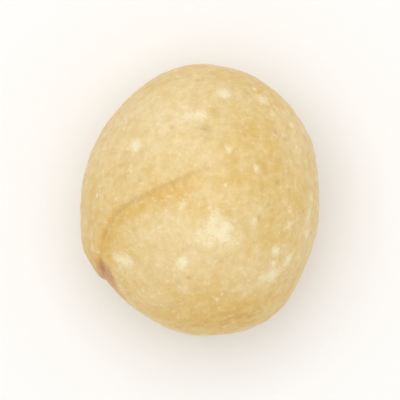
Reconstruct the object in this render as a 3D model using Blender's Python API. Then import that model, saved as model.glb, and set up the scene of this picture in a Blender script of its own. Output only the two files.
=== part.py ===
"""One shelled macadamia kernel, lying on a small flat spot.

The kernel grew as one piece, so it is one solid: two seed leaves that close into a blunt egg, with a
soft step round it where they meet. The germ tip stands on that seam at its +X end. At the other end the
seam bends down the flank to the scar where the kernel was fed. Metres, +Z up. The origin is at the
middle of the box's bottom, so the flat spot lies at z = 0.
"""

import math

import bmesh
import bpy
from mathutils import Vector

# Size of the whole kernel
WIDTH = 0.0184  # along X, about from one end of the seam to the other
LENGTH = 0.0209  # along Y, across both seed leaves
HEIGHT = 0.0176  # along Z

# Seam between the two seed leaves: a plane turned about Z, leaning back towards +Y
SEAM_TURN = math.radians(14.0)
SEAM_LEAN = math.radians(8.7)
SEAM_OFFSET = 0.00095  # from the kernel's middle towards the +Y leaf
SEAM_STEP = 0.00026  # how far the +Y leaf stands proud where the seam shows most
SEAM_EDGE = 0.00016  # half the width of the step's rounded edge
SEAM_RECOVERY = 0.0023  # how soon the -Y leaf rises again to the common surface
SEAM_CREASE = 0.00008  # depth of the fine line at the foot of the step
SEAM_CREASE_WIDTH = 0.00020

# Places where the seam wanders off its plane: angle round the seam, shift towards +Y, half width
SEAM_WAVES = (
    (118.0, -0.00055, 16.0),
    (178.0, -0.00460, 23.0),
    (214.0, -0.00160, 22.0),
    (318.0, -0.00045, 24.0),
)
# Places where the step is plain to see, out of a fainter run: angle round the seam, share, half width
SEAM_FAINT = 0.25
SEAM_PLAIN = (
    (130.0, 0.75, 32.0),
    (212.0, 0.45, 24.0),
    (322.0, 0.60, 20.0),
)

# Swells and flats of the outside: azimuth and elevation of the middle, height, half width in degrees
FORMS = (
    (40.0, 0.0, 0.00028, 18.0),  # swell, right shoulder
    (130.0, 4.0, -0.00046, 17.0),  # flat, left shoulder
    (207.0, 0.0, 0.00050, 15.0),  # swell at the left of the blunt end
    (238.0, 0.0, -0.00030, 11.0),  # flat beside it
    (303.0, -3.0, 0.00050, 13.0),  # swell at the right of the blunt end
    (330.0, 48.0, -0.00016, 16.0),  # faint flat on the upper side
    (100.0, 50.0, 0.00014, 18.0),  # faint swell on the upper side
    (62.0, -42.0, -0.00038, 20.0),  # flats and a swell of the underside
    (205.0, -48.0, -0.00024, 18.0),
    (280.0, -38.0, 0.00025, 20.0),
)

# Germ tip and feeding scar: angles round the seam, from its +X end over the top
GERM_AT = -27.0
GERM_SHOULDER = 0.00034  # low rise round the tip
GERM_SHOULDER_SPREAD = 12.0
GERM_TIP = 0.00052  # the small blunt point itself
GERM_TIP_SPREAD = 4.2
SCAR_AT = 176.0
SCAR_DEPTH = 0.00020
SCAR_SPREAD = 9.0
SCAR_RIM = 0.00007
SCAR_RIM_AT = 17.0
SCAR_RIM_SPREAD = 4.0

# Flat spot underneath
FLAT_DEPTH = 0.00036  # how much of the round underside the flat spot takes away
FLAT_BLEND = 0.00008  # half the height over which its rim is rounded
FLAT_CALM = 24.0  # half width, in degrees, of the place round it where the seam fades out

# Mesh: meridians run from leaf to leaf, rings run along the seam and crowd beside it
MERIDIANS = 80
RINGS = 56
RING_CROWDING = 0.66

KERNEL_COLOUR = (0.77, 0.57, 0.27, 1.0)  # cream to pale gold
KERNEL_ROUGHNESS = 0.5


def compass(azimuth, elevation):
    """Direction at an azimuth, anticlockwise from +X, and an elevation above the horizon, in degrees."""
    turn, rise = math.radians(azimuth), math.radians(elevation)
    return Vector((math.cos(rise) * math.cos(turn), math.cos(rise) * math.sin(turn), math.sin(rise)))


# The seam's own axes: to its +X end, to its top, and across it towards the +Y leaf
SEAM_ALONG = Vector((math.cos(SEAM_TURN), math.sin(SEAM_TURN), 0.0))
SEAM_ACROSS = Vector((0.0, math.sin(SEAM_LEAN), math.cos(SEAM_LEAN))).cross(SEAM_ALONG).normalized()
SEAM_UP = SEAM_ALONG.cross(SEAM_ACROSS)


def bell(distance, half_width):
    """Smooth rise of 1 at distance 0 that fades over the half width."""
    return math.exp(-0.5 * (distance / half_width) ** 2)


def apart(direction, other):
    """Angle between two unit directions, in degrees."""
    return math.degrees(math.acos(max(-1.0, min(1.0, direction.dot(other)))))


def angle_round_seam(direction):
    """Angle of a direction round the seam, in degrees from its +X end over the top."""
    return math.degrees(math.atan2(direction.dot(SEAM_UP), direction.dot(SEAM_ALONG)))


def around(angle, places):
    """Sum of the places' heights at an angle round the seam, each a bell about its own angle."""
    total = 0.0
    for middle, height, half_width in places:
        gap = (angle - middle + 180.0) % 360.0 - 180.0
        total += height * bell(gap, half_width)
    return total


def seam_shift(angle):
    """Distance of the seam from the kernel's middle, towards the +Y leaf, at an angle round it."""
    return SEAM_OFFSET + around(angle, SEAM_WAVES)


def off_seam(angle, latitude):
    """Direction at an angle round the seam, in degrees, and a latitude off it, in radians.

    Latitude 0 follows the waving seam, and the waves die out towards the middle of each leaf.
    """
    turn = math.radians(angle)
    latitude += math.asin(2.0 * seam_shift(angle) / WIDTH) * math.cos(latitude) ** 2
    in_plane = math.cos(turn) * SEAM_ALONG + math.sin(turn) * SEAM_UP
    return math.cos(latitude) * in_plane + math.sin(latitude) * SEAM_ACROSS


GERM = off_seam(GERM_AT, 0.0)
SCAR = off_seam(SCAR_AT, 0.0)
DOWN = Vector((0.0, 0.0, -1.0))


def plain_radius(direction):
    """Radius of the plain ellipsoid with the kernel's three sizes."""
    scaled = Vector((direction.x / WIDTH, direction.y / LENGTH, direction.z / HEIGHT))
    return 0.5 / scaled.length


def drawn_direction(point):
    """A ball's point, its poles on Z, as a direction from the kernel's middle.

    The ball's equator is laid along the waving seam, and its rings are drawn in towards it. Angles
    round the ball and round the seam run opposite ways, which keeps the faces pointing out.
    """
    angle = math.degrees(math.atan2(-point.y, point.x))
    share = math.asin(max(-1.0, min(1.0, point.z))) / (0.5 * math.pi)
    latitude = 0.5 * math.pi * share - 0.5 * RING_CROWDING * math.sin(math.pi * share)
    return off_seam(angle, latitude)


def seam_relief(direction, distance):
    """Height that the seam takes away at a distance from it, positive on the proud +Y leaf.

    The -Y leaf drops by the step at the seam and rises again away from it, with a fine crease at
    the foot. The whole fades in and out round the kernel and is gone over the flat spot.
    """
    strength = SEAM_FAINT + around(angle_round_seam(direction), SEAM_PLAIN)
    strength *= 1.0 - bell(apart(direction, DOWN), FLAT_CALM)
    low_side = 0.5 * (1.0 - math.tanh(distance / SEAM_EDGE))
    drop = SEAM_STEP * low_side * math.exp(min(distance, 0.0) / SEAM_RECOVERY)
    crease = SEAM_CREASE * bell(distance, SEAM_CREASE_WIDTH)
    return -strength * (drop + crease)


def end_relief(direction):
    """Height of the germ tip on its low shoulder, and of the shallow scar inside its faint rim."""
    from_germ = apart(direction, GERM)
    from_scar = apart(direction, SCAR)
    germ = GERM_SHOULDER * bell(from_germ, GERM_SHOULDER_SPREAD) + GERM_TIP * bell(from_germ, GERM_TIP_SPREAD)
    rim = SCAR_RIM * bell(from_scar - SCAR_RIM_AT, SCAR_RIM_SPREAD)
    return germ - SCAR_DEPTH * bell(from_scar, SCAR_SPREAD) + rim


def surface_point(direction):
    """Point of the kernel's skin in a direction from its middle."""
    radius = plain_radius(direction)
    distance = radius * direction.dot(SEAM_ACROSS) - seam_shift(angle_round_seam(direction))
    radius += seam_relief(direction, distance) + end_relief(direction)
    for azimuth, elevation, height, half_width in FORMS:
        radius += height * bell(apart(direction, compass(azimuth, elevation)), half_width)
    return radius * direction


def fit_to_box(points):
    """Stretch the points to the kernel's sizes, with the part the flat spot takes away below z = 0."""
    sizes = (WIDTH, LENGTH, HEIGHT + FLAT_DEPTH)
    starts = (-0.5 * WIDTH, -0.5 * LENGTH, -FLAT_DEPTH)
    for axis, (size, start) in enumerate(zip(sizes, starts)):
        low = min(point[axis] for point in points)
        high = max(point[axis] for point in points)
        for point in points:
            point[axis] = start + size * (point[axis] - low) / (high - low)


def rested(height):
    """Height held above the flat spot: 0 below it, with its rim rounded, and unchanged further up."""
    if height > FLAT_BLEND:
        return height
    if height < -FLAT_BLEND:
        return 0.0
    return (height + FLAT_BLEND) ** 2 / (4.0 * FLAT_BLEND)


def kernel_material():
    """Pale waxy skin between cream and gold."""
    material = bpy.data.materials.new("kernel_skin")
    material.use_nodes = True
    shader = material.node_tree.nodes["Principled BSDF"]
    shader.inputs["Base Color"].default_value = KERNEL_COLOUR
    shader.inputs["Roughness"].default_value = KERNEL_ROUGHNESS
    shader.inputs["Metallic"].default_value = 0.0
    material.diffuse_color = KERNEL_COLOUR
    return material


def make_kernel():
    """A ball of rings along the seam, with every point moved onto the kernel's skin."""
    ball = bmesh.new()
    bmesh.ops.create_uvsphere(ball, u_segments=MERIDIANS, v_segments=RINGS, radius=1.0)
    points = [surface_point(drawn_direction(vert.co)) for vert in ball.verts]
    fit_to_box(points)
    for vert, point in zip(ball.verts, points):
        vert.co = (point.x, point.y, rested(point.z))
    bmesh.ops.triangulate(ball, faces=ball.faces)

    mesh = bpy.data.meshes.new("kernel")
    ball.to_mesh(mesh)
    ball.free()
    mesh.shade_smooth()
    mesh.materials.append(kernel_material())
    kernel = bpy.data.objects.new("kernel", mesh)
    bpy.context.collection.objects.link(kernel)


for old in list(bpy.data.objects):
    bpy.data.objects.remove(old, do_unlink=True)
make_kernel()
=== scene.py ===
import itertools
import math

import bpy
import numpy as np
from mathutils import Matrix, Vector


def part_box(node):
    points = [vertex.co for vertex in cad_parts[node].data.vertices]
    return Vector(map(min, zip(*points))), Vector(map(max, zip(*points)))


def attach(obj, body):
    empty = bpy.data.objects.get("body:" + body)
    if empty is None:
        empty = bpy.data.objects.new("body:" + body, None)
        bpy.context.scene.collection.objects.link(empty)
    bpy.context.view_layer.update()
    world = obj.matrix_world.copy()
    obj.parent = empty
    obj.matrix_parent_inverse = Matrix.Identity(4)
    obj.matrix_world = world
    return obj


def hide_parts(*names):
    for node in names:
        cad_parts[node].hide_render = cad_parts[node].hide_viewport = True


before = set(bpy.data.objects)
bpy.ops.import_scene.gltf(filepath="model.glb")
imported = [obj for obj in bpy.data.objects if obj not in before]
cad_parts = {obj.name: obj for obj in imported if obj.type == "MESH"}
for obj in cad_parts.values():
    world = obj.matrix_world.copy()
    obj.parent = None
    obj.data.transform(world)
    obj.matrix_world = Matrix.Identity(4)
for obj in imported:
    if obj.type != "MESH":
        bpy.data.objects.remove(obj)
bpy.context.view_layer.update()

bl_info = {
    "name": "Macadamia kernel",
    "version": (1, 0, 0),
    "blender": (4, 5, 0),
    "location": "3D View > Sidebar > Kernel",
    "description": "Makes a shelled macadamia kernel with its skin, and a pale stage to show it on",
    "category": "Object",
}

MM = 0.001

# The kernel's box in the frame gives its sizes
LOW, HIGH = (np.array(corner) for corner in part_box("kernel"))
WIDTH, LENGTH, HEIGHT = HIGH - LOW
MIDDLE = (LOW + HIGH) / 2

# Seam between the two seed leaves: a plane turned about Z, leaning back towards +Y
SEAM_TURN = math.radians(14.0)
SEAM_LEAN = math.radians(8.7)
SEAM_OFFSET = 0.95 * MM  # from the kernel's middle towards the +Y leaf
SEAM_STEP = 0.26 * MM  # how far the +Y leaf stands proud where the seam shows most
SEAM_EDGE = 0.16 * MM  # half the width of the step's rounded edge
SEAM_RECOVERY = 2.3 * MM  # how soon the -Y leaf rises again to the common surface
SEAM_CREASE = 0.08 * MM  # depth of the fine line at the foot of the step
SEAM_CREASE_WIDTH = 0.20 * MM

# Places where the seam wanders off its plane: angle round it, shift towards +Y, half width in degrees
SEAM_WAVES = (
    (118.0, -0.55 * MM, 16.0),
    (178.0, -4.60 * MM, 23.0),
    (214.0, -1.60 * MM, 22.0),
    (318.0, -0.45 * MM, 24.0),
)
# Share of the step all the way round, and places with more: angle round the seam, share, half width
SEAM_FAINT = 0.25
SEAM_PLAIN = (
    (130.0, 0.75, 32.0),
    (212.0, 0.45, 24.0),
    (322.0, 0.60, 20.0),
)

# Swells and flats: azimuth and elevation of the middle, height, half width in degrees
FORMS = (
    (40.0, 0.0, 0.28 * MM, 18.0),  # swell, right shoulder
    (130.0, 4.0, -0.46 * MM, 17.0),  # flat, left shoulder
    (207.0, 0.0, 0.50 * MM, 15.0),  # swell at the left of the blunt end
    (238.0, 0.0, -0.30 * MM, 11.0),  # flat beside it
    (303.0, -3.0, 0.50 * MM, 13.0),  # swell at the right of the blunt end
    (330.0, 48.0, -0.16 * MM, 16.0),  # faint flat on the upper side
    (100.0, 50.0, 0.14 * MM, 18.0),  # faint swell on the upper side
    (62.0, -42.0, -0.38 * MM, 20.0),  # flats and a swell of the underside
    (205.0, -48.0, -0.24 * MM, 18.0),
    (280.0, -38.0, 0.25 * MM, 20.0),
)

# Germ tip and feeding scar, by their angles round the seam
GERM_AT = -27.0
GERM_SHOULDER = 0.34 * MM
GERM_SHOULDER_SPREAD = 12.0
GERM_TIP = 0.52 * MM
GERM_TIP_SPREAD = 4.2
SCAR_AT = 176.0
SCAR_DEPTH = 0.20 * MM
SCAR_SPREAD = 9.0
SCAR_RIM = 0.07 * MM
SCAR_RIM_AT = 17.0
SCAR_RIM_SPREAD = 4.0

# Flat spot underneath
FLAT_DEPTH = 0.36 * MM  # how much of the round underside the flat spot takes away
FLAT_BLEND = 0.08 * MM  # half the height over which its rim is rounded
FLAT_CALM = 24.0  # half width, in degrees, of the place round it where the seam fades out

# Mesh: squares along each edge of the cube that the skin is drawn from
SQUARES = 127
RING_CROWDING = 0.30  # how far the rows are drawn in towards the seam

# Fine relief of the skin, coarse to fine: grain size, height, seed
GRAINS = (
    (4.4 * MM, 0.070 * MM, 11),
    (2.0 * MM, 0.045 * MM, 12),
    (0.95 * MM, 0.034 * MM, 13),
    (0.45 * MM, 0.018 * MM, 14),
)
NOISE_CUBES = 32  # random corners along each side before the noise repeats
NOISE_GAIN = 1.8  # brings the noise's usual peaks to about 1

# Faint ridges that run out from the germ tip: width of one where the kernel is widest, seed
RIDGES = (1.4 * MM, 15)
RIDGES_HEIGHT = 0.020 * MM
RIDGES_STRETCH = 6.0  # how much longer than wide
RIDGES_REACH = 50.0  # half width, in degrees from the tip, over which they fade

# Small wander of the seam: grain, shift, seed
SEAM_WANDER = (1.6 * MM, 0.08 * MM, 16)
# Painted shade along the seam: a brown line at the foot of the step and a golden band below it on
# the -Y leaf, where the proud leaf's step casts shade: place beside the seam, half width
SEAM_CREASE_SHADE = (-0.08 * MM, 0.15 * MM)
SEAM_CREASE_SHADE_BREAKS = (1.1 * MM, 0.75, 0.5, 17)  # grain, usual share, change and seed of its unevenness
SEAM_SHADE_BAND = (-0.75 * MM, 0.70 * MM)
SEAM_SHADE_BAND_GOLD = 0.20
SEAM_SHADE_BAND_LOST = 0.7  # share of the band that is lost on the flanks
SEAM_SHOWN = 0.85  # share of the full step from which the painted shade of the line and the band shows whole

# Pores, and pale flecks: count, least and greatest half width, seed
PORES = (170, 0.08 * MM, 0.16 * MM, 21)
PORE_DEPTH = 0.040 * MM
FLECKS = (240, 0.10 * MM, 0.34 * MM, 22)

# Shallow dents on the side that faces up: x and y seen from above, half width, depth
DENTS = (
    (-7.4 * MM, -5.5 * MM, 0.50 * MM, 0.08 * MM),
    (0.4 * MM, 5.3 * MM, 0.42 * MM, 0.06 * MM),
    (1.2 * MM, 6.6 * MM, 0.35 * MM, 0.03 * MM),
    (-2.1 * MM, -8.2 * MM, 0.30 * MM, 0.05 * MM),
    (-5.6 * MM, 2.8 * MM, 0.40 * MM, 0.03 * MM),
)
DENT_FULL_SHADE = 0.10 * MM  # depth at which a dent's painted shade is as brown as a pore's

# Rubbed chalky patches on the side that faces up: x and y seen from above, half width, strength
CHALK_SPOTS = (
    (1.5 * MM, -2.4 * MM, 0.80 * MM, 0.92),
    (0.1 * MM, -3.0 * MM, 0.60 * MM, 0.50),
    (0.9 * MM, -1.0 * MM, 0.60 * MM, 0.25),
    (2.9 * MM, -3.2 * MM, 0.80 * MM, 0.30),
    (-1.4 * MM, -4.8 * MM, 0.42 * MM, 0.90),
    (-5.7 * MM, -4.7 * MM, 0.48 * MM, 1.00),
    (-6.5 * MM, -4.4 * MM, 0.40 * MM, 0.70),
    (5.8 * MM, -4.0 * MM, 0.42 * MM, 0.70),
    (6.8 * MM, -4.6 * MM, 0.50 * MM, 0.85),
    (5.7 * MM, -5.7 * MM, 0.50 * MM, 0.85),
    (4.7 * MM, -6.1 * MM, 0.42 * MM, 0.60),
    (5.9 * MM, -6.9 * MM, 0.50 * MM, 0.30),
    (8.2 * MM, -2.6 * MM, 0.55 * MM, 0.62),
    (7.0 * MM, -1.9 * MM, 0.50 * MM, 0.60),
    (8.4 * MM, -1.1 * MM, 0.45 * MM, 0.58),
    (8.5 * MM, 0.1 * MM, 0.45 * MM, 0.58),
    (4.7 * MM, 7.6 * MM, 0.45 * MM, 0.95),
    (5.6 * MM, 6.3 * MM, 0.50 * MM, 0.50),
    (1.7 * MM, 8.1 * MM, 0.42 * MM, 1.00),
    (0.1 * MM, 6.4 * MM, 0.42 * MM, 0.85),
    (-0.9 * MM, 6.2 * MM, 0.42 * MM, 0.60),
    (-5.0 * MM, 4.0 * MM, 0.45 * MM, 0.85),
    (-6.0 * MM, 4.0 * MM, 0.35 * MM, 0.50),
    (-1.9 * MM, 8.6 * MM, 0.40 * MM, 0.35),
)
CHALK_PATCHES = (3.6 * MM, 0.75, 31)  # grain, strength and seed of the patches on the other sides
CHALK_PATCH_EDGES = (0.2, 1.0)  # noise at which a patch starts and is whole
CHALK_BREAKS = (0.75 * MM, 0.5, 32)  # grain, change and seed of the noise that makes all patches uneven
CHALK_RELIEF = 0.020 * MM
CHALK_CRUMBS = (0.36 * MM, 0.5, 33)  # grain, usual share of the relief, seed

# How far down the skin faces, from -1 for up to 1 for down, where each change starts and is whole
TURNED_AWAY = (-0.25, 0.25)  # from the side that faces up, for the chalky patches
FLANKS = (-0.75, 0.35)

# Golden places (above 0) and pale ones on the side that faces up: x and y seen from above, half
# width, strength. The first is painted shade: a warm darker spot on the edge at the seam's end,
# over the first dent
TINT_AND_SHADE_SPOTS = (
    (-7.3 * MM, -5.4 * MM, 0.5 * MM, 0.40),
    (-8.3 * MM, 1.0 * MM, 0.9 * MM, 0.10),
    (3.0 * MM, 1.0 * MM, 2.2 * MM, 0.16),
    (6.2 * MM, 1.8 * MM, 2.4 * MM, 0.11),
    (4.6 * MM, 5.4 * MM, 1.6 * MM, 0.09),
    (0.5 * MM, -9.2 * MM, 3.2 * MM, 0.14),
    (3.2 * MM, -8.6 * MM, 1.6 * MM, 0.12),
    (1.5 * MM, -3.2 * MM, 3.0 * MM, -0.10),
    (-3.4 * MM, -2.2 * MM, 1.2 * MM, -0.10),
    (-1.5 * MM, 6.6 * MM, 2.8 * MM, -0.12),
)
TINT_PLAIN = 0.39  # share of gold where nothing changes it
TINT_NOISES = ((5.4 * MM, 0.12, 41), (2.2 * MM, 0.08, 42), (1.0 * MM, 0.06, 43))  # grain, change, seed
TINT_RIDGES = 0.05
FLANK_SHADE_GOLD = 0.23  # painted shade: more gold on the flanks and underneath, where the sides turn away from the light
# Rings of deeper gold about the scar and the germ tip: change, degrees from the middle, half width
SCAR_TINTS = ((0.38, 0.0, 6.0), (0.12, 10.0, 3.0))
GERM_TINTS = ((0.45, 0.0, 2.4), (0.14, 0.0, 8.0), (-0.10, 16.0, 5.0))
END_BREAKS = (1.9 * MM, 2.2, 44)  # grain, degrees and seed of the noise that makes the rings uneven


def grain(size, detail, roughness):
    """Inputs of a noise whose grain has a real size: its scale is 1 divided by the size."""
    return {"Scale": 1 / size, "Detail": detail, "Roughness": roughness}


def turned(start, end, low, high):
    """Inputs of a Map Range node that turns start to end into low to high."""
    return {"From_Min": start, "From_Max": end, "To_Min": low, "To_Max": high}


# The finest real grain is under 0.1 mm. Grit and skin grain are drawn at 0.2 mm, so that they show

# Mottling: paler to deeper gold, and a little more to a little less light
MOTTLE = grain(0.7 * MM, 4.0, 0.65)
MOTTLE_GOLD = turned(0.3, 0.7, -0.10, 0.10)
MOTTLE_LIGHT = turned(0.3, 0.7, 1.03, 0.96)

# Mealy grains, and how much paler they are
MEAL = grain(0.3 * MM, 2.0, 0.6)
MEAL_PALER = turned(0.48, 0.72, 0.0, 0.10)

# Places of the middle colours between pale, at 0, and amber, at 1
CREAM_AT = 0.35
GOLD_AT = 0.68

# Chalk: a thin film of dust all over, the grit that makes it ragged, and the share of skin it hides
DUST = grain(0.6 * MM, 3.0, 0.6)
DUST_FILM = turned(0.48, 0.75, 0.0, 0.55)
GRIT = grain(0.2 * MM, 3.0, 0.7)
GRIT_SWING = 1.4
CHALK_COVER = turned(0.15, 1.0, 0.0, 0.85)

# Share of brown painted shade in a full hollow and in the seam's crease
HOLLOW_SHADE_BROWN = 0.34
CREASE_SHADE_BROWN = 0.17

# Surface: roughness from waxy to chalky, finest grain, and the light that spreads under the skin
CHALK_ROUGHNESS = turned(0.0, 0.8, 0.37, 0.75)
SKIN_GRAIN = grain(0.2 * MM, 4.0, 0.6)
SKIN_IOR = 1.46
GLOW_SHARE = 0.35
GLOW_COLOURS = (1.0, 0.62, 0.32)  # red goes furthest, blue least

# Matt white card
CARD_TOOTH = grain(0.4 * MM, 2.0, 0.5)
CARD_TOOTH_HEIGHT = 0.006 * MM
CARD_ROUGHNESS = 0.9
CARD_IOR = 1.45


def linear(hex_colour):
    """Linear RGB and alpha of an sRGB hex colour."""
    parts = [int(hex_colour[i : i + 2], 16) / 255 for i in (1, 3, 5)]
    curve = [c / 12.92 if c <= 0.04045 else ((c + 0.055) / 1.055) ** 2.4 for c in parts]
    return (*curve, 1.0)


def unit(vectors):
    """The vectors, each divided by its length."""
    return vectors / np.linalg.norm(vectors, axis=-1, keepdims=True)


def compass(azimuth, elevation):
    """Direction at an azimuth, anticlockwise from +X, and an elevation above the horizon, in degrees."""
    turn, rise = math.radians(azimuth), math.radians(elevation)
    return np.array((math.cos(rise) * math.cos(turn), math.cos(rise) * math.sin(turn), math.sin(rise)))


# The seam's own axes: to its +X end, across it towards the +Y leaf, and to its top
SEAM_ALONG = np.array((math.cos(SEAM_TURN), math.sin(SEAM_TURN), 0.0))
SEAM_ACROSS = unit(np.cross((0.0, math.sin(SEAM_LEAN), math.cos(SEAM_LEAN)), SEAM_ALONG))
SEAM_UP = np.cross(SEAM_ALONG, SEAM_ACROSS)


def bell(distance, half_width):
    """Smooth rise of 1 at distance 0 that fades over the half width."""
    return np.exp(-0.5 * (distance / half_width) ** 2)


def smooth_step(values, start, end):
    """0 up to start and 1 from end, with an S-shaped curve between them."""
    share = np.clip((values - start) / (end - start), 0.0, 1.0)
    return share * share * (3.0 - 2.0 * share)


def apart(directions, other):
    """Angles between unit directions and another one, in degrees."""
    return np.degrees(np.arccos(np.clip(directions @ other, -1.0, 1.0)))


def angle_round_seam(directions):
    """Angles of directions round the seam, in degrees from its +X end over the top."""
    return np.degrees(np.arctan2(directions @ SEAM_UP, directions @ SEAM_ALONG))


def around(angles, places):
    """Sum of the places' heights at angles round the seam, each a bell about its own angle."""
    gaps = ((angles - middle + 180.0) % 360.0 - 180.0 for middle, _, _ in places)
    return sum(height * bell(gap, spread) for gap, (_, height, spread) in zip(gaps, places))


def seam_shift(angles):
    """Distance of the seam from the kernel's middle, towards the +Y leaf, at angles round it."""
    return SEAM_OFFSET + around(angles, SEAM_WAVES)


def off_seam(angles, latitudes):
    """Directions at angles round the seam, in degrees, and latitudes off it, in radians.

    Latitude 0 follows the waving seam, and the waves die out towards the middle of each leaf.
    """
    turns = np.radians(angles)
    latitudes = latitudes + np.arcsin(2.0 * seam_shift(angles) / WIDTH) * np.cos(latitudes) ** 2
    in_plane = np.multiply.outer(np.cos(turns), SEAM_ALONG) + np.multiply.outer(np.sin(turns), SEAM_UP)
    return np.cos(latitudes)[..., None] * in_plane + np.multiply.outer(np.sin(latitudes), SEAM_ACROSS)


GERM = off_seam(np.float64(GERM_AT), np.float64(0.0))
SCAR = off_seam(np.float64(SCAR_AT), np.float64(0.0))
DOWN = np.array((0.0, 0.0, -1.0))


def seen_from_above(x, y):
    """Direction from the kernel's middle to the point of its upper side over x and y."""
    height = 0.5 * HEIGHT * math.sqrt(max(0.0, 1.0 - (2.0 * x / WIDTH) ** 2 - (2.0 * y / LENGTH) ** 2))
    return unit(np.array((x, y, height)))


def noise(points, size, seed):
    """Smooth noise, nearly all of it from -1 to 1, from random slopes at the corners of cubes.

    The size is the cubes' side. Inside one, each corner gives its slope times the way from it, and
    the eight are blended along each side by a curve that starts and ends level.
    """
    slopes = unit(np.random.default_rng(seed).normal(size=(NOISE_CUBES, NOISE_CUBES, NOISE_CUBES, 3)))
    places = points / size
    cells = np.floor(places).astype(int)
    ways = places - cells
    shares = ways**3 * (ways * (ways * 6.0 - 15.0) + 10.0)
    total = np.zeros(len(points))
    for corner in itertools.product((0, 1), repeat=3):
        weights = np.prod(np.where(corner, shares, 1.0 - shares), axis=1)
        x, y, z = ((cells + corner) % NOISE_CUBES).T
        total += weights * np.sum(slopes[x, y, z] * (ways - corner), axis=1)
    return NOISE_GAIN * total


def cube_grid(squares):
    """Whole-number points of a cube's surface, welded at its edges, and the quads between them.

    Each side is a grid of two parameters. Opposite sides run them the other way round, so that every
    quad faces out.
    """
    one, two = np.meshgrid(np.arange(squares + 1), np.arange(squares + 1), indexing="ij")
    sides = np.empty((6, squares + 1, squares + 1, 3), int)
    for side, (axis, level) in enumerate(itertools.product(range(3), (0, squares))):
        sides[side, ..., axis] = level
        sides[side, ..., (axis + 1) % 3] = one if level else two
        sides[side, ..., (axis + 2) % 3] = two if level else one
    points, numbers = np.unique(sides.reshape(-1, 3), axis=0, return_inverse=True)
    numbers = numbers.reshape(6, squares + 1, squares + 1)
    corners = (numbers[:, :-1, :-1], numbers[:, 1:, :-1], numbers[:, 1:, 1:], numbers[:, :-1, 1:])
    return points, np.stack(corners, axis=-1).reshape(-1, 4)


def skin_directions(squares):
    """Directions from the kernel's middle, evenly spread over the cube's sides, and the quads.

    The cube stands on the seam, and its rows are drawn in towards the seam and follow its waves.
    """
    points, quads = cube_grid(squares)
    ball = unit(np.tan((2.0 * points / squares - 1.0) * math.pi / 4))
    angles = np.degrees(np.arctan2(ball[:, 0], ball[:, 1]))
    shares = np.arcsin(np.clip(ball[:, 2], -1.0, 1.0)) / (0.5 * math.pi)
    latitudes = 0.5 * math.pi * shares - 0.5 * RING_CROWDING * np.sin(math.pi * shares)
    return off_seam(angles, latitudes), quads


def plain_radius(directions):
    """Radius of the plain ellipsoid with the kernel's three sizes."""
    return 0.5 / np.linalg.norm(directions / (WIDTH, LENGTH, HEIGHT), axis=1)


def seam_distance(directions):
    """Distance from the wandering seam along the skin, positive on the proud +Y leaf."""
    radii = plain_radius(directions)
    size, shift, seed = SEAM_WANDER
    wander = shift * noise(radii[:, None] * directions, size, seed)
    return radii * (directions @ SEAM_ACROSS) - seam_shift(angle_round_seam(directions)) + wander


def seam_strength(directions):
    """Share of the full step at each direction: it fades in and out, and is gone at the flat spot."""
    strength = SEAM_FAINT + around(angle_round_seam(directions), SEAM_PLAIN)
    return strength * (1.0 - bell(apart(directions, DOWN), FLAT_CALM))


def seam_relief(directions):
    """Height at the seam: the -Y leaf drops by a step and rises again, with a crease at its foot."""
    distance = seam_distance(directions)
    low_side = 0.5 * (1.0 - np.tanh(distance / SEAM_EDGE))
    drop = SEAM_STEP * low_side * np.exp(np.minimum(distance, 0.0) / SEAM_RECOVERY)
    crease = SEAM_CREASE * bell(distance, SEAM_CREASE_WIDTH)
    return -seam_strength(directions) * (drop + crease)


def end_relief(directions):
    """Height of the germ tip on its low shoulder, and of the shallow scar inside its faint rim."""
    from_germ = apart(directions, GERM)
    from_scar = apart(directions, SCAR)
    germ = GERM_SHOULDER * bell(from_germ, GERM_SHOULDER_SPREAD) + GERM_TIP * bell(from_germ, GERM_TIP_SPREAD)
    rim = SCAR_RIM * bell(from_scar - SCAR_RIM_AT, SCAR_RIM_SPREAD)
    return germ - SCAR_DEPTH * bell(from_scar, SCAR_SPREAD) + rim


def form_relief(directions):
    """Height of the broad swells and flats."""
    heights = np.zeros(len(directions))
    for azimuth, elevation, height, spread in FORMS:
        heights += height * bell(apart(directions, compass(azimuth, elevation)), spread)
    return heights


def fitted(points):
    """The points stretched to the kernel's box, which goes lower by what the flat spot takes away."""
    low, high = points.min(axis=0), points.max(axis=0)
    start = LOW - (0.0, 0.0, FLAT_DEPTH)
    return start + (HIGH - start) * (points - low) / (high - low)


def rested(heights):
    """Heights held above the flat spot: 0 below it, with its rim rounded, and unchanged further up."""
    rim = (heights + FLAT_BLEND) ** 2 / (4.0 * FLAT_BLEND)
    return np.where(heights > FLAT_BLEND, heights, np.where(heights < -FLAT_BLEND, 0.0, rim))


def ridges(directions):
    """Faint ridges from -1 to 1 that run out from the germ tip like lines of longitude.

    The noise is read on a cylinder about the tip's axis. Its height is the angle from the tip,
    shortened so that each grain is long, and its radius is half the kernel's width.
    """
    width, seed = RIDGES
    side = np.cross(GERM, SEAM_ACROSS)
    turns = np.arctan2(directions @ side, directions @ SEAM_ACROSS)
    from_germ = apart(directions, GERM)
    heights = np.radians(from_germ) / RIDGES_STRETCH
    cylinder = WIDTH / 2 * np.column_stack((np.cos(turns), np.sin(turns), heights))
    return bell(from_germ, RIDGES_REACH) * noise(cylinder, width, seed)


def scattered(points, directions, kind):
    """The strongest of many small bells about random places of the skin, most of them faint."""
    count, least, greatest, seed = kind
    draw = np.random.default_rng(seed)
    places = unit(draw.normal(size=(count, 3)))
    spreads = draw.uniform(least, greatest, count)
    strengths = draw.uniform(0.0, 1.0, count) ** 2
    strongest = np.zeros(len(points))
    for place, spread, strength in zip(places, spreads, strengths):
        middle = points[np.argmax(directions @ place)]
        strongest = np.maximum(strongest, strength * bell(np.linalg.norm(points - middle, axis=1), spread))
    return strongest


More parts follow.
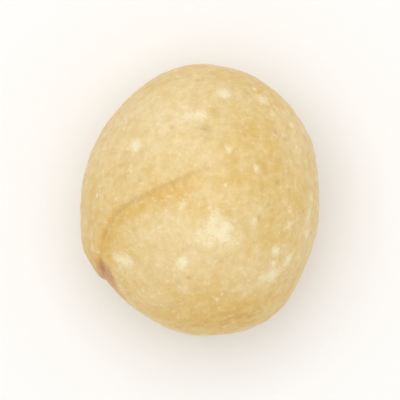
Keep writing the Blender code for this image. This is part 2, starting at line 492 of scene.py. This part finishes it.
def spots(points, directions, places):
    """Sum of the places' strengths at the points, each a bell about a place seen from above."""
    total = np.zeros(len(points))
    for x, y, spread, strength in places:
        middle = points[np.argmax(directions @ seen_from_above(x, y))]
        total += strength * bell(np.linalg.norm(points - middle, axis=1), spread)
    return total


def chalk_mask(points, directions):
    """How rubbed and chalky the skin is, from 0 to 1, soft at its edges.

    It holds the placed patches, the peaks of a broad noise away from the side that faces up, and
    flecks all over. A finer noise makes the patches uneven.
    """
    size, strength, seed = CHALK_PATCHES
    hidden = strength * smooth_step(-directions[:, 2], *TURNED_AWAY)
    patches = spots(points, directions, CHALK_SPOTS)
    patches += hidden * smooth_step(noise(points, size, seed), *CHALK_PATCH_EDGES)
    size, change, seed = CHALK_BREAKS
    uneven = patches * (1.0 + change * noise(points, size, seed))
    return np.clip(np.maximum(uneven, scattered(points, directions, FLECKS)), 0.0, 1.0)


def beside_seam(directions, strip):
    """A strip that runs along the seam, from 0 to 1: a bell across it, fading where the step is faint."""
    place, spread = strip
    shown = smooth_step(seam_strength(directions), SEAM_FAINT, SEAM_SHOWN)
    return shown * bell(seam_distance(directions) - place, spread)


def crease_shade_mask(points, directions):
    """How much painted shade shows in the seam's crease: its strip, made uneven by noise."""
    size, share, change, seed = SEAM_CREASE_SHADE_BREAKS
    return beside_seam(directions, SEAM_CREASE_SHADE) * (share + change * noise(points, size, seed))


def tint_and_shade_mask(points, directions):
    """How golden the skin is, from 0 for pale to 1 for amber.

    It holds the placed golden and pale places, noise of three grains, the ridges, and deeper gold
    round the scar and at the germ tip. It also holds painted shade: a golden band below the seam's
    step, deeper gold on the flanks and underneath, and the warm spot at the seam's end.
    """
    tint_and_shade = TINT_PLAIN + spots(points, directions, TINT_AND_SHADE_SPOTS) + TINT_RIDGES * ridges(directions)
    for size, change, seed in TINT_NOISES:
        tint_and_shade += change * noise(points, size, seed)
    # Painted shade: a golden band below the seam's step, lost on the flanks, and deeper gold on the flanks
    # and underneath
    flanks = smooth_step(-directions[:, 2], *FLANKS)
    tint_and_shade += SEAM_SHADE_BAND_GOLD * (1.0 - SEAM_SHADE_BAND_LOST * flanks) * beside_seam(directions, SEAM_SHADE_BAND)
    tint_and_shade += FLANK_SHADE_GOLD * flanks
    size, degrees, seed = END_BREAKS
    shift = degrees * noise(points, size, seed)
    for end, rings in ((SCAR, SCAR_TINTS), (GERM, GERM_TINTS)):
        from_end = apart(directions, end) + shift
        tint_and_shade += sum(change * bell(from_end - place, spread) for change, place, spread in rings)
    return np.clip(tint_and_shade, 0.0, 1.0)


def kernel_surface(squares):
    """The skin's points, its quads, and what its finish needs at each point.

    Radius from the middle is the ellipsoid's, changed by the seam, the two ends and the broad
    forms. The whole is fitted to the box. Then the fine relief moves each point along its
    direction: noise of four grains and the ridges, less the pores, the dents and the rubbed
    places. What lies below the flat spot is pressed up to it.
    """
    directions, quads = skin_directions(squares)
    radii = plain_radius(directions) + seam_relief(directions)
    radii = radii + end_relief(directions) + form_relief(directions)
    points = fitted(radii[:, None] * directions)
    pores = scattered(points, directions, PORES)
    dents = spots(points, directions, DENTS)
    # The hollow and line masks are painted shade: brown in the pores, in the dents by their depth, and in the
    # seam's crease. The tint mask holds painted shade as well as the skin's gold
    masks = {
        "chalk": chalk_mask(points, directions),
        "tint_and_shade": tint_and_shade_mask(points, directions),
        "hollow_shade": np.clip(pores + dents / DENT_FULL_SHADE, 0.0, 1.0),
        "crease_shade": crease_shade_mask(points, directions),
    }
    fine = sum(height * noise(points, size, seed) for size, height, seed in GRAINS)
    fine += RIDGES_HEIGHT * ridges(directions) - PORE_DEPTH * pores - dents
    size, share, seed = CHALK_CRUMBS
    fine -= CHALK_RELIEF * masks["chalk"] * (share + noise(points, size, seed))
    points = points + fine[:, None] * directions
    points[:, 2] = rested(points[:, 2])
    return points, quads, masks


def mesh_object(name, points, quads, masks):
    """A smooth-shaded object of the points and quads, with each mask as an attribute of its points."""
    mesh = bpy.data.meshes.new(name)
    mesh.vertices.add(len(points))
    mesh.vertices.foreach_set("co", points.ravel())
    mesh.loops.add(quads.size)
    mesh.loops.foreach_set("vertex_index", quads.ravel())
    mesh.polygons.add(len(quads))
    mesh.polygons.foreach_set("loop_start", np.arange(0, quads.size, 4))
    for mask, values in masks.items():
        mesh.attributes.new(mask, "FLOAT", "POINT").data.foreach_set("value", values)
    mesh.update(calc_edges=True)
    mesh.validate()
    mesh.shade_smooth()
    made = bpy.data.objects.new(name, mesh)
    bpy.context.scene.collection.objects.link(made)
    return made


def add_node(tree, kind, settings=(), **links):
    """Add a node, set its properties and give each named input a value or a link.

    An input is named by its place, as in0, or by its label with _ for a space.
    """
    made = tree.nodes.new(kind)
    for name, value in dict(settings).items():
        setattr(made, name, value)
    for name, value in links.items():
        socket = made.inputs[int(name[2:])] if name[:2] == "in" else made.inputs[name.replace("_", " ")]
        if isinstance(value, bpy.types.NodeSocket):
            tree.links.new(value, socket)
        else:
            socket.default_value = value
    return made


def new_material(name):
    """An empty node material, and its tree."""
    material = bpy.data.materials.new(name)
    material.use_nodes = True
    material.node_tree.nodes.clear()
    return material, material.node_tree


def golden_clouds(tree, place, mottle, tint_and_shade, settings):
    """Colour of the whole skin: gold in broad clouds over cream, mottled, under paler mealy grains."""
    deeper = add_node(tree, "ShaderNodeMapRange", Value=mottle, **MOTTLE_GOLD)
    clouds = add_node(tree, "ShaderNodeMath", {"operation": "ADD"}, in0=tint_and_shade, in1=deeper.outputs["Result"])
    meal = add_node(tree, "ShaderNodeTexNoise", Vector=place, **MEAL)
    paler = add_node(
        tree, "ShaderNodeMapRange", {"interpolation_type": "SMOOTHSTEP"},
        Value=meal.outputs["Fac"], **MEAL_PALER,
    )
    gold = add_node(
        tree, "ShaderNodeMath", {"operation": "SUBTRACT", "use_clamp": True},
        in0=clouds.outputs["Value"], in1=paler.outputs["Result"],
    )
    ramp = add_node(tree, "ShaderNodeValToRGB", Fac=gold.outputs["Value"])
    stops = ramp.color_ramp.elements
    stops[0].color = settings.pale
    stops[1].color = settings.amber
    for position, colour in ((CREAM_AT, settings.cream), (GOLD_AT, settings.gold)):
        stops.new(position).color = colour
    return ramp.outputs["Color"]


def chalk_cover(tree, place, chalk, grit):
    """Share of the skin that chalk hides: the rubbed places or the film of dust, ragged by the grit."""
    dust = add_node(tree, "ShaderNodeTexNoise", Vector=place, **DUST)
    film = add_node(tree, "ShaderNodeMapRange", Value=dust.outputs["Fac"], **DUST_FILM)
    powder = add_node(tree, "ShaderNodeMath", {"operation": "MAXIMUM"}, in0=chalk, in1=film.outputs["Result"])
    ragged = add_node(tree, "ShaderNodeMath", {"operation": "ADD"}, in0=powder.outputs["Value"], in1=grit)
    cover = add_node(
        tree, "ShaderNodeMapRange", {"interpolation_type": "SMOOTHSTEP"},
        Value=ragged.outputs["Value"], **CHALK_COVER,
    )
    return cover.outputs["Result"]


def painted_brown_shade(tree, hollow_shade, crease_shade):
    """Share of brown painted shade in the pores and dents and in the seam's crease."""
    hollow_shades = add_node(tree, "ShaderNodeMath", {"operation": "MULTIPLY"}, in0=hollow_shade, in1=HOLLOW_SHADE_BROWN)
    shade = add_node(
        tree, "ShaderNodeMath", {"operation": "MULTIPLY_ADD", "use_clamp": True},
        in0=crease_shade, in1=CREASE_SHADE_BROWN, in2=hollow_shades.outputs["Value"],
    )
    return shade.outputs["Value"]


def grainy_normal(tree, place, cover, grit, height):
    """Surface with the skin's own 0.2 mm grain, and with the chalk's grit where chalk covers it."""
    fine = add_node(tree, "ShaderNodeTexNoise", Vector=place, **SKIN_GRAIN)
    rough = add_node(
        tree, "ShaderNodeMath", {"operation": "MULTIPLY_ADD"}, in0=cover, in1=grit, in2=fine.outputs["Fac"]
    )
    bump = add_node(tree, "ShaderNodeBump", Strength=1.0, Distance=height, Height=rough.outputs["Value"])
    return bump.outputs["Normal"]


def kernel_skin(settings):
    """Dry seed coat of a macadamia kernel: waxy, oily under the surface and faintly rubbed.

    Its oil lets light in a little way, which softens the shading and warms the thin edges. Gold lies
    in broad clouds over cream, under pale mealy grains and a thin dust. Rubbed places are dull and
    chalk white. Brown painted shade darkens the pores, the dents and the seam's crease, and the gold
    also paints shade on the flanks and below the seam's step.
    """
    material, tree = new_material("macadamia_kernel_skin")
    place = add_node(tree, "ShaderNodeTexCoord").outputs["Object"]
    # The tint mask holds painted shade as well as the skin's gold; the hollow and line masks are painted
    # shade
    tint_and_shade, chalk, hollow_shade, crease_shade = (
        add_node(tree, "ShaderNodeAttribute", {"attribute_name": mask}).outputs["Fac"]
        for mask in ("tint_and_shade", "chalk", "hollow_shade", "crease_shade")
    )
    mottle = add_node(tree, "ShaderNodeTexNoise", Vector=place, **MOTTLE).outputs["Fac"]
    clouds = golden_clouds(tree, place, mottle, tint_and_shade, settings)

    # Grit swings evenly about nothing, so that it takes away as much chalk as it adds
    grit_noise = add_node(tree, "ShaderNodeTexNoise", Vector=place, **GRIT)
    grit = add_node(
        tree, "ShaderNodeMath", {"operation": "MULTIPLY_ADD"},
        in0=grit_noise.outputs["Fac"], in1=GRIT_SWING, in2=-GRIT_SWING / 2,
    ).outputs["Value"]
    cover = chalk_cover(tree, place, chalk, grit)
    whitened = add_node(
        tree, "ShaderNodeMix", {"data_type": "RGBA"}, in0=cover, in6=clouds, in7=settings.chalk
    )
    # Painted shade: brown mixed in over the pores, the dents and the seam's crease
    shaded = add_node(
        tree, "ShaderNodeMix", {"data_type": "RGBA"},
        in0=painted_brown_shade(tree, hollow_shade, crease_shade), in6=whitened.outputs[2], in7=settings.shade_brown,
    )
    light = add_node(tree, "ShaderNodeMapRange", Value=mottle, **MOTTLE_LIGHT)
    skin = add_node(tree, "ShaderNodeHueSaturation", Color=shaded.outputs[2], Value=light.outputs["Result"])
    roughness = add_node(tree, "ShaderNodeMapRange", Value=cover, **CHALK_ROUGHNESS)
    shader = add_node(
        tree, "ShaderNodeBsdfPrincipled", {"subsurface_method": "RANDOM_WALK"},
        Base_Color=skin.outputs["Color"], Roughness=roughness.outputs["Result"],
        Normal=grainy_normal(tree, place, cover, grit, settings.grain_height),
        IOR=SKIN_IOR, Subsurface_Weight=GLOW_SHARE, Subsurface_Radius=GLOW_COLOURS,
        Subsurface_Scale=settings.glow_depth,
    )
    add_node(tree, "ShaderNodeOutputMaterial", Surface=shader.outputs["BSDF"])
    return material


def floor_card(settings):
    """Matt white card with a faint tooth, so that light falls on it evenly and its shadow stays soft."""
    material, tree = new_material("matt_white_card")
    place = add_node(tree, "ShaderNodeTexCoord").outputs["Object"]
    tooth = add_node(tree, "ShaderNodeTexNoise", Vector=place, **CARD_TOOTH)
    bump = add_node(
        tree, "ShaderNodeBump", Strength=1.0, Distance=CARD_TOOTH_HEIGHT, Height=tooth.outputs["Fac"]
    )
    shader = add_node(
        tree, "ShaderNodeBsdfPrincipled",
        Base_Color=settings.floor, Roughness=CARD_ROUGHNESS, IOR=CARD_IOR, Normal=bump.outputs["Normal"],
    )
    add_node(tree, "ShaderNodeOutputMaterial", Surface=shader.outputs["BSDF"])
    return material


class KernelSettings(bpy.types.PropertyGroup):
    """Sizes and colours of the kernel's skin."""

    pale: bpy.props.FloatVectorProperty(
        name="Pale", description="Palest skin",
        subtype="COLOR", size=4, default=linear("#F2E1B6"), min=0, max=1,
    )
    cream: bpy.props.FloatVectorProperty(
        name="Cream", description="Most of the skin",
        subtype="COLOR", size=4, default=linear("#E9CE92"), min=0, max=1,
    )
    gold: bpy.props.FloatVectorProperty(
        name="Gold", description="Golden clouds",
        subtype="COLOR", size=4, default=linear("#E1B960"), min=0, max=1,
    )
    amber: bpy.props.FloatVectorProperty(
        name="Amber", description="Deepest gold, at the scar and the germ tip",
        subtype="COLOR", size=4, default=linear("#CB8B42"), min=0, max=1,
    )
    chalk: bpy.props.FloatVectorProperty(
        name="Chalk", description="Rubbed places and dust",
        subtype="COLOR", size=4, default=linear("#FCEEC8"), min=0, max=1,
    )
    # Colour of the painted shade in the pores, the dents and the seam's crease
    shade_brown: bpy.props.FloatVectorProperty(
        name="Brown", description="Shade in the pores, the dents and the seam's line",
        subtype="COLOR", size=4, default=linear("#A8763A"), min=0, max=1,
    )
    grain_height: bpy.props.FloatProperty(
        name="Grain height", description="Height of the finest grain", unit="LENGTH", default=0.030 * MM
    )
    glow_depth: bpy.props.FloatProperty(
        name="Glow depth", description="How far light spreads under the skin", unit="LENGTH", default=0.5 * MM
    )


class StageSettings(bpy.types.PropertyGroup):
    """Floor, lamp and camera."""

    floor: bpy.props.FloatVectorProperty(
        name="Floor", description="Colour of the card",
        subtype="COLOR", size=4, default=linear("#FBFBFA"), min=0, max=1,
    )
    floor_side: bpy.props.FloatProperty(
        name="Floor side", description="Side of the square card", unit="LENGTH", default=3.0
    )
    lamp_power: bpy.props.FloatProperty(
        name="Lamp power", description="Power of the soft lamp", unit="POWER", default=1.25
    )
    lamp_side: bpy.props.FloatProperty(
        name="Lamp side", description="Side of the soft lamp", unit="LENGTH", default=0.45
    )
    lamp_place: bpy.props.FloatVectorProperty(
        name="Lamp place", description="Middle of the soft lamp, nearly overhead",
        subtype="TRANSLATION", size=3, default=(-0.04, 0.08, 0.54),
    )
    room_light: bpy.props.FloatProperty(
        name="Room light", description="Strength of the light from all round", default=0.70
    )
    camera_height: bpy.props.FloatProperty(
        name="Camera height", description="Camera above the kernel's middle", unit="LENGTH", default=0.60
    )
    fill: bpy.props.FloatProperty(
        name="Fill", description="Share of the picture's height that the kernel fills",
        subtype="FACTOR", default=0.68,
    )


class KERNEL_OT_make_kernel(bpy.types.Operator):
    """Make the kernel: one closed skin with its seam, tip, scar and fine relief"""

    bl_idname = "kernel.make_kernel"
    bl_label = "Make kernel"

    def execute(self, context):
        squares = SQUARES
        kernel = mesh_object("macadamia_kernel", *kernel_surface(squares))
        kernel.data.materials.append(kernel_skin(context.scene.kernel_settings))
        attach(kernel, "root")
        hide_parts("kernel")
        return {"FINISHED"}


class KERNEL_OT_make_stage(bpy.types.Operator):
    """Lay the pale floor, light it softly from nearly overhead and look straight down"""

    bl_idname = "kernel.make_stage"
    bl_label = "Make stage"

    def execute(self, context):
        settings = context.scene.stage_settings
        half = settings.floor_side / 2
        corners = np.array([(-half, -half, 0.0), (half, -half, 0.0), (half, half, 0.0), (-half, half, 0.0)])
        floor = mesh_object("floor", corners, np.array([[0, 1, 2, 3]]), {})
        floor.data.materials.append(floor_card(settings))

        lamp = bpy.data.objects.new("soft_lamp", bpy.data.lights.new("soft_lamp", "AREA"))
        lamp.data.energy = settings.lamp_power
        lamp.data.size = settings.lamp_side
        lamp.location = settings.lamp_place
        lamp.rotation_euler = lamp.location.to_track_quat("Z", "Y").to_euler()
        lamp.visible_camera = False
        context.scene.collection.objects.link(lamp)

        world = bpy.data.worlds.new("room")
        world.use_nodes = True
        world.node_tree.nodes["Background"].inputs["Color"].default_value = (1.0, 1.0, 1.0, 1.0)
        world.node_tree.nodes["Background"].inputs["Strength"].default_value = settings.room_light
        context.scene.world = world

        camera = bpy.data.objects.new("camera", bpy.data.cameras.new("camera"))
        camera.location = (0.0, 0.0, MIDDLE[2] + settings.camera_height)
        camera.data.lens = camera.data.sensor_width * settings.camera_height * settings.fill / LENGTH
        context.scene.collection.objects.link(camera)
        context.scene.camera = camera
        context.scene.view_settings.view_transform = "Standard"
        return {"FINISHED"}


class KERNEL_PT_sidebar(bpy.types.Panel):
    """Sidebar panel that lists the kernel's and the stage's settings and makes them"""

    bl_label = "Macadamia kernel"
    bl_space_type = "VIEW_3D"
    bl_region_type = "UI"
    bl_category = "Kernel"

    def draw(self, context):
        for settings, operator in (
            (context.scene.kernel_settings, "kernel.make_kernel"),
            (context.scene.stage_settings, "kernel.make_stage"),
        ):
            box = self.layout.box()
            for name in settings.__annotations__:
                box.prop(settings, name)
            box.operator(operator)


CLASSES = (KernelSettings, StageSettings, KERNEL_OT_make_kernel, KERNEL_OT_make_stage, KERNEL_PT_sidebar)


def register():
    for made in CLASSES:
        bpy.utils.register_class(made)
    bpy.types.Scene.kernel_settings = bpy.props.PointerProperty(type=KernelSettings)
    bpy.types.Scene.stage_settings = bpy.props.PointerProperty(type=StageSettings)


def unregister():
    del bpy.types.Scene.stage_settings
    del bpy.types.Scene.kernel_settings
    for made in reversed(CLASSES):
        bpy.utils.unregister_class(made)


def main():
    register()
    bpy.ops.kernel.make_kernel()
    bpy.ops.kernel.make_stage()


if __name__ == "__main__":
    main()
